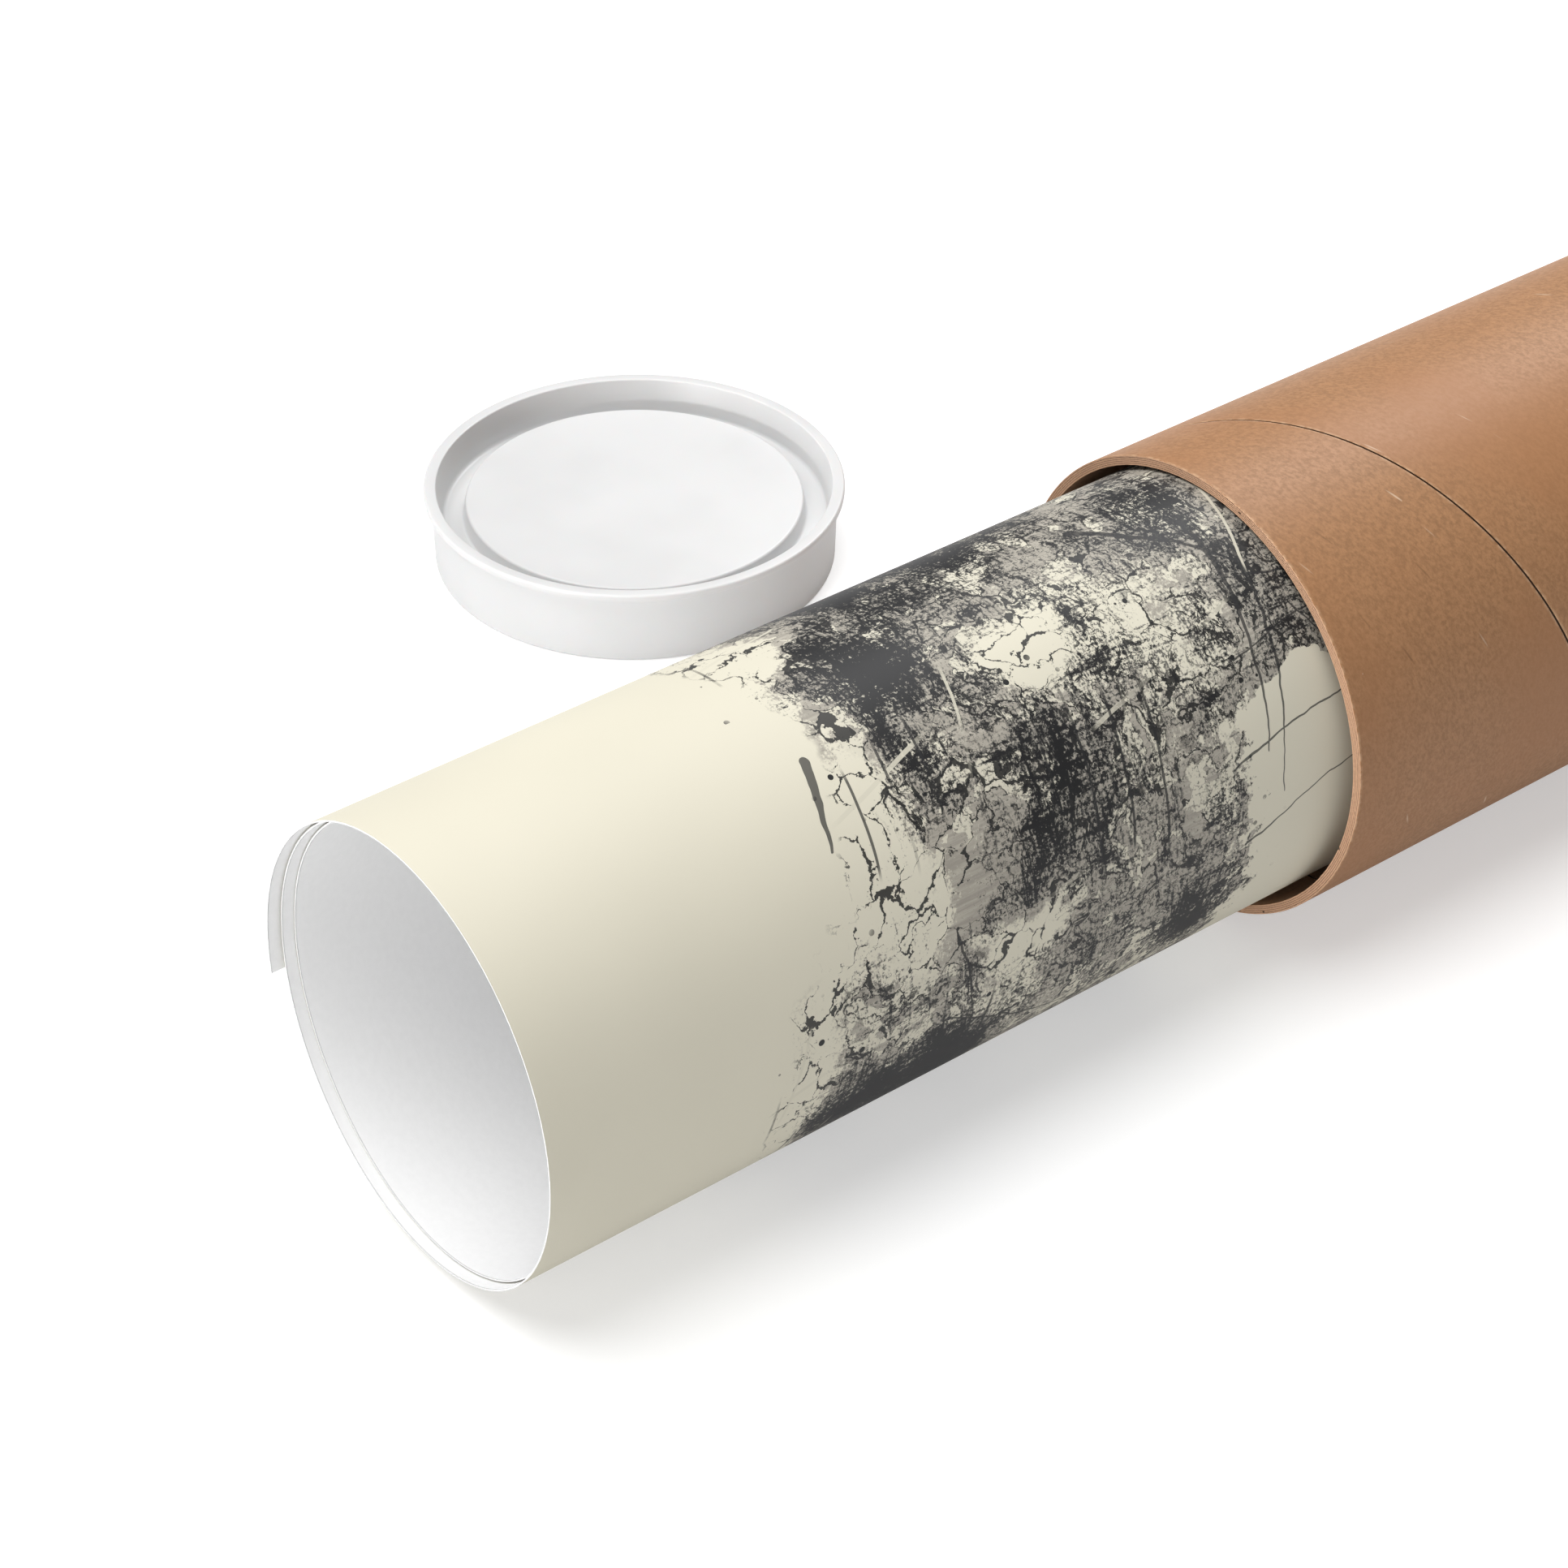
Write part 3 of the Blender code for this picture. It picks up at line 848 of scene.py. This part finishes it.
def roll_point(x, turns, depth, settings):
    """Point of the sheet at a depth below its outer face."""
    angle = settings.free_edge_angle + 2 * math.pi * turns
    across, upright = roll_radii(turns, settings)
    shift = paper_ripple(x, angle, settings) - depth
    return (x, (across + shift) * math.cos(angle),
            AXIS_HEIGHT + (upright + shift) * math.sin(angle))


def roll_sheet(name, settings, materials):
    """Roll the sheet inwards from its free edge until its length is used."""
    runs = settings.runs
    step = 1 / settings.facets
    builder = bmesh.new()
    place_layer = builder.verts.layers.float_vector.new("sheet_place")
    turns = 0.0
    rolled = 0.0
    sections = []
    while rolled <= settings.length:
        near = PRINT_LOW.x + settings.skew * turns
        outside, inside = [], []
        for index in range(runs + 1):
            inward = settings.width * index / runs
            x = near + inward
            place = (rolled, inward, 0.0)
            outside.append((roll_point(x, turns, 0.0, settings), place))
            inside.append((roll_point(x, turns, settings.thickness, settings), place))
        sections.append(outside + inside[::-1])
        here = Vector(roll_point(near, turns, 0.0, settings))
        turns += step
        rolled += (Vector(roll_point(near, turns, 0.0, settings)) - here).length
    stitch(builder, sections, (place_layer,))
    sides = len(sections[0])
    for index, face in enumerate(builder.faces):
        skin = index < (len(sections) - 1) * sides
        face.material_index = 0 if skin and index % sides < runs else 1
    return smooth_object(name, builder, materials)


class DRAWINGTUBE_OT_roll_print(Operator):
    """Roll the print and leave it drawn part of the way out"""

    bl_idname = "drawing_tube.roll_print"
    bl_label = "Roll Print"

    def execute(self, context):
        settings = context.scene.drawing_tube_print
        materials = [print_face_material(settings), print_back_material(settings)]
        sheet = roll_sheet("print_sheet", settings, materials)
        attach(sheet, "print")
        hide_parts("rolled_print")
        return {"FINISHED"}


# ---- the end caps -------------------------------------------------------------------


def cap_corners(settings):
    """Cap outline as (radius, height, rounding); height 0 is the flange's outer face."""
    plug = BORE_RADIUS - settings.plug_clearance
    plug_end = plug - settings.plug_taper
    panel_top = settings.panel_radius - settings.panel_draft
    under_floor = settings.floor_depth + settings.wall
    under_panel = settings.panel_depth + settings.wall
    inside = plug_end - settings.wall
    return [
        (0.0, -settings.panel_depth, 0.0),
        (panel_top, -settings.panel_depth, 0.55 * MM),
        (settings.panel_radius, -settings.floor_depth, 0.6 * MM),
        (settings.floor_radius, -settings.floor_depth, 0.9 * MM),
        (settings.recess_radius, 0.0, 0.35 * MM),
        (settings.flange_radius, 0.0, 0.45 * MM),
        (settings.flange_radius, -settings.flange_thickness, 0.3 * MM),
        (plug, -settings.flange_thickness, 0.12 * MM),
        (plug_end, -CAP_DEPTH, 0.55 * MM),
        (inside, -CAP_DEPTH, 0.3 * MM),
        (inside, -under_floor, 0.7 * MM),
        (settings.panel_radius - settings.wall, -under_floor, 0.4 * MM),
        (panel_top - settings.wall, -under_panel, 0.5 * MM),
        (0.0, -under_panel, 0.0),
    ]


def rounded_outline(corners, steps=4):
    """Replace each rounded corner of an open outline by an arc."""
    outline = []
    for index, (radius, height, rounding) in enumerate(corners):
        here = Vector((radius, height))
        if rounding == 0:
            outline.append(here)
            continue
        before = (Vector(corners[index - 1][:2]) - here).normalized()
        after = (Vector(corners[index + 1][:2]) - here).normalized()
        half = before.angle(after) / 2
        reach = rounding / math.tan(half)
        centre = here + (before + after).normalized() * (rounding / math.sin(half))
        start = here + before * reach - centre
        end = here + after * reach - centre
        sweep = start.angle_signed(end)
        for part in range(steps + 1):
            turn = Matrix.Rotation(-sweep * part / steps, 2)
            outline.append(centre + turn @ start)
    return outline


def turn_cap(name, settings, materials):
    """Turn the cap's outline about Z, with its flange face at height 0."""
    builder = bmesh.new()
    facets = settings.facets
    rings = []
    for point in rounded_outline(cap_corners(settings)):
        if point.x < 1e-9:
            rings.append([builder.verts.new((0.0, 0.0, point.y))])
            continue
        ring = []
        for index in range(facets):
            angle = 2 * math.pi * index / facets
            ring.append(builder.verts.new(
                (point.x * math.cos(angle), point.x * math.sin(angle), point.y)))
        rings.append(ring)
    for ring, following in zip(rings, rings[1:]):
        for index in range(facets):
            ahead = (index + 1) % facets
            if len(ring) == 1:
                builder.faces.new((ring[0], following[index], following[ahead]))
            elif len(following) == 1:
                builder.faces.new((ring[index], following[0], ring[ahead]))
            else:
                builder.faces.new((ring[index], following[index], following[ahead], ring[ahead]))
    return smooth_object(name, builder, materials)


class DRAWINGTUBE_OT_mould_caps(Operator):
    """Mould both end caps, one in the far end and one set down beside the mouth"""

    bl_idname = "drawing_tube.mould_caps"
    bl_label = "Mould Caps"

    def execute(self, context):
        settings = context.scene.drawing_tube_cap
        plastic = plastic_material(settings)
        places = (
            ("far_cap_moulding", "far_end_cap", "far_cap",
             Vector((FAR_CAP_HIGH.x, 0.0, AXIS_HEIGHT)), math.radians(90)),
            ("mouth_cap_moulding", "mouth_cap", "loose_cap",
             Vector(((MOUTH_CAP_LOW.x + MOUTH_CAP_HIGH.x) / 2,
                     (MOUTH_CAP_LOW.y + MOUTH_CAP_HIGH.y) / 2, MOUTH_CAP_HIGH.z)), 0.0),
        )
        for name, node, body, place, tilt in places:
            cap = turn_cap(name, settings, [plastic])
            cap.data.transform(Matrix.Translation(place) @ Matrix.Rotation(tilt, 4, "Y"))
            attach(cap, body)
            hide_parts(node)
        return {"FINISHED"}


# ---- the stage ----------------------------------------------------------------------

# Where the lights hang: along and across the tube from its mouth, and up from the floor.
KEY_PLACE = (-0.30, 0.22, 1.30)
BACK_PLACE = (0.90, 0.50, 1.00)
FRONT_PLACE = (-1.50, -0.30, 0.42)
LOW_PLACE = (-0.75, -0.10, 0.02)
LOW_AIM = (-0.10, 0.0, 0.075)
LOW_SPREAD = math.radians(60)
FLOOR_GLOW = 0.15
FLOOR_GLOW_SEEN = 0.32
SURROUNDINGS_SEEN = 1.1


def from_mouth(offset):
    """A point given by its distances from the tube's mouth."""
    return MOUTH_X + offset[0], offset[1], offset[2]


def lay_floor():
    """A large pale floor that glows a little, and looks brighter than the light it gives."""
    builder = bmesh.new()
    bmesh.ops.create_grid(builder, x_segments=8, y_segments=8, size=6.0)
    material, s, shader = start_material("pale_floor", 0.9, 0.0)
    place = s.node("ShaderNodeTexCoord").outputs["Object"]
    tone = s.band(s.noise(place, 3.0, 2.0, 0.5), 0.3, 0.7)
    colour = s.mix(tone, (0.635, 0.635, 0.635, 1.0), (0.645, 0.645, 0.645, 1.0))
    s.feed(shader.inputs["Base Color"], colour)
    shader.inputs["Emission Color"].default_value = (1.0, 1.0, 1.0, 1.0)
    seen = s.node("ShaderNodeLightPath").outputs["Is Camera Ray"]
    glow = s.math("MULTIPLY_ADD", seen, FLOOR_GLOW_SEEN, FLOOR_GLOW)
    s.feed(shader.inputs["Emission Strength"], glow)
    floor = smooth_object("pale_floor", builder, [material])
    floor.location = (0.0, 0.0, WRAP_LOW.z)


def hang(data, place, aim):
    """Put a light in the scene at a place, facing a point."""
    light = bpy.data.objects.new(data.name, data)
    bpy.context.scene.collection.objects.link(light)
    light.visible_camera = False
    light.location = place
    light.rotation_euler = (Vector(aim) - Vector(place)).to_track_quat("-Z", "Y").to_euler()


def add_light(name, power, size, place, aim, spread=math.pi):
    """A square soft light at a place, facing a point."""
    data = bpy.data.lights.new(name, "AREA")
    data.energy = power
    data.shape = "SQUARE"
    data.size = size
    data.spread = spread
    hang(data, place, aim)


def set_world(strength):
    """White surroundings that light the object only a little."""
    world = bpy.data.worlds.new("studio")
    bpy.context.scene.world = world
    world.use_nodes = True
    s = Shader(world.node_tree)
    background = world.node_tree.nodes["Background"]
    seen = s.node("ShaderNodeLightPath").outputs["Is Camera Ray"]
    brightness = s.math("MULTIPLY_ADD", seen, SURROUNDINGS_SEEN - strength, strength)
    s.feed(background.inputs["Strength"], brightness)
    background.inputs["Color"].default_value = (1.0, 1.0, 1.0, 1.0)


def set_camera(settings):
    """Look down over the mouth of the tube from its open end."""
    data = bpy.data.cameras.new("camera")
    data.sensor_width = 36.0
    data.lens = settings.lens
    data.clip_start = 0.01
    data.clip_end = 50.0
    camera = bpy.data.objects.new("camera", data)
    bpy.context.scene.collection.objects.link(camera)
    camera.location = (
        MOUTH_X - settings.camera_back, -settings.camera_side, settings.camera_height)
    heading, dip = settings.camera_heading, settings.camera_dip
    level = math.cos(dip)
    ahead = Vector((math.cos(heading) * level, math.sin(heading) * level, -math.sin(dip)))
    facing = ahead.to_track_quat("-Z", "Y").to_matrix()
    camera.rotation_euler = (facing @ Matrix.Rotation(settings.camera_roll, 3, "Z")).to_euler()
    bpy.context.scene.camera = camera


class DRAWINGTUBE_OT_set_stage(Operator):
    """Lay the floor, hang the lights and place the camera"""

    bl_idname = "drawing_tube.set_stage"
    bl_label = "Set Stage"

    def execute(self, context):
        settings = context.scene.drawing_tube_stage
        set_camera(settings)
        lay_floor()
        mouth = from_mouth((0.0, 0.0, AXIS_HEIGHT))
        key = bpy.data.lights.new("key", "SUN")
        key.energy = settings.key_strength
        key.angle = settings.key_softness
        hang(key, from_mouth(KEY_PLACE), mouth)
        add_light("back", settings.back_power, 0.5, from_mouth(BACK_PLACE), mouth)
        add_light("front", settings.front_power, 1.0, from_mouth(FRONT_PLACE), mouth)
        add_light("low", settings.low_power, 0.25, from_mouth(LOW_PLACE), from_mouth(LOW_AIM),
                  LOW_SPREAD)
        set_world(settings.fill)
        context.scene.view_settings.view_transform = "Standard"
        return {"FINISHED"}


class DRAWINGTUBE_PT_sidebar(Panel):
    """The drawing tube's settings and steps"""

    bl_idname = "DRAWINGTUBE_PT_sidebar"
    bl_label = "Drawing Tube"
    bl_space_type = "VIEW_3D"
    bl_region_type = "UI"
    bl_category = "Drawing Tube"

    def draw(self, context):
        for operator, group_name in STEPS:
            box = self.layout.box()
            group = getattr(context.scene, group_name)
            for name in group.__annotations__:
                box.prop(group, name)
            box.operator(operator.bl_idname)


STEPS = (
    (DRAWINGTUBE_OT_set_stage, "drawing_tube_stage"),
    (DRAWINGTUBE_OT_wind_tube, "drawing_tube"),
    (DRAWINGTUBE_OT_roll_print, "drawing_tube_print"),
    (DRAWINGTUBE_OT_mould_caps, "drawing_tube_cap"),
)
SETTINGS = {
    "drawing_tube": TubeSettings,
    "drawing_tube_print": PrintSettings,
    "drawing_tube_cap": CapSettings,
    "drawing_tube_stage": StageSettings,
}
CLASSES = (*SETTINGS.values(), *(operator for operator, _ in STEPS), DRAWINGTUBE_PT_sidebar)


def register():
    """Register every class and hang the settings on the scene."""
    for one in CLASSES:
        bpy.utils.register_class(one)
    for name, kind in SETTINGS.items():
        setattr(bpy.types.Scene, name, PointerProperty(type=kind))


def unregister():
    """Take the settings off the scene and unregister every class."""
    for name in SETTINGS:
        delattr(bpy.types.Scene, name)
    for one in reversed(CLASSES):
        bpy.utils.unregister_class(one)


def main():
    """Build the whole visual model."""
    register()
    bpy.ops.drawing_tube.set_stage()
    bpy.ops.drawing_tube.wind_tube()
    bpy.ops.drawing_tube.roll_print()
    bpy.ops.drawing_tube.mould_caps()
    bpy.context.view_layer.update()


if __name__ == "__main__":
    main()
